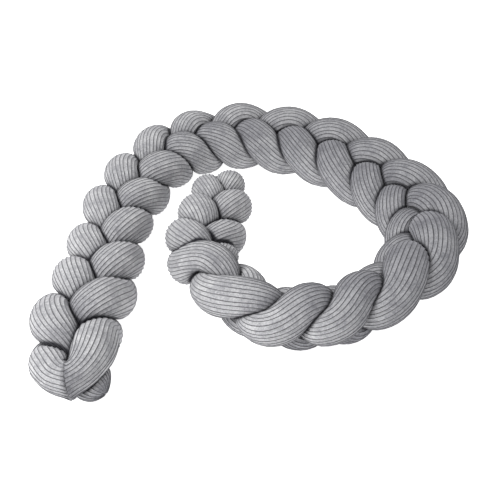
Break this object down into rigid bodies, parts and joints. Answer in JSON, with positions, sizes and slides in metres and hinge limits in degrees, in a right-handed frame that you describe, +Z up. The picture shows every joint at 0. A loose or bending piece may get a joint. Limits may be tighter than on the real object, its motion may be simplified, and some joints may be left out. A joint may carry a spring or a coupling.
{
  "type": "braided crib bumper",
  "caption": "Three stuffed grey corduroy tubes in a flat braid, lying on its underside in an open spiral loop, with cross seams where tubes turn back at both ends.",
  "frame": {"origin": "middle of the bounding box, on the surface that the braid rests on", "axes": "+Z up from that surface, +Y towards the back of the loop, along its longest extent, +X to the right when looking along +Y"},
  "size_m": [0.7026, 0.731, 0.1221],
  "materials": {
    "corduroy": "wide-wale plush corduroy, matte with a soft nap"
  },
  "bodies": {
    "root": {"strand_a": "corduroy", "strand_b": "corduroy", "strand_c": "corduroy"}
  },
  "joints": []
}
